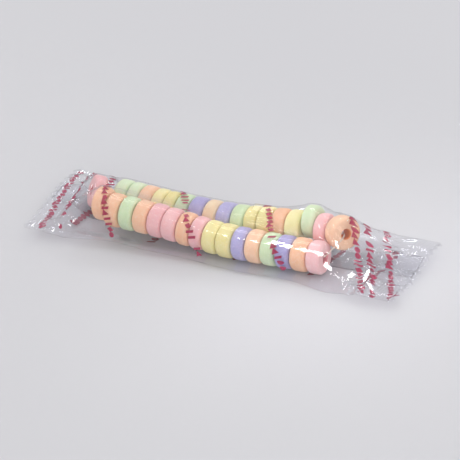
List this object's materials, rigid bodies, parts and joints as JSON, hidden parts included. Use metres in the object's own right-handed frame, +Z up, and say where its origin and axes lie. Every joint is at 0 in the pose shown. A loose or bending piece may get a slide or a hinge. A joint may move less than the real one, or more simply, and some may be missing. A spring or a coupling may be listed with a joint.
{
  "type": "candy necklace",
  "caption": "Necklace of ring-shaped pressed-sugar beads on elastic thread, folded double and sealed in a clear film bag with crimped, toothed ends.",
  "frame": {"origin": "middle of the flat underside, on the table, under the centre of the bag's length and width", "axes": "+X along the rows of beads, from the turned end to the raised end bead; -Y is the front; +Z up"},
  "size_m": [0.128, 0.034, 0.0155],
  "materials": {
    "wrapped_candy": "pastel beads seen through clear glossy film",
    "clear_film": "clear oriented polypropylene film, glossy, creased at the ends",
    "film_print": "dark red ink marks printed on the film",
    "pressed_sugar": "matt, chalky pressed sugar in pink, orange, yellow, green and lavender",
    "elastic_thread": "white covered elastic thread"
  },
  "bodies": {
    "root": {"wrapped_necklace": "wrapped_candy"}
  },
  "joints": []
}
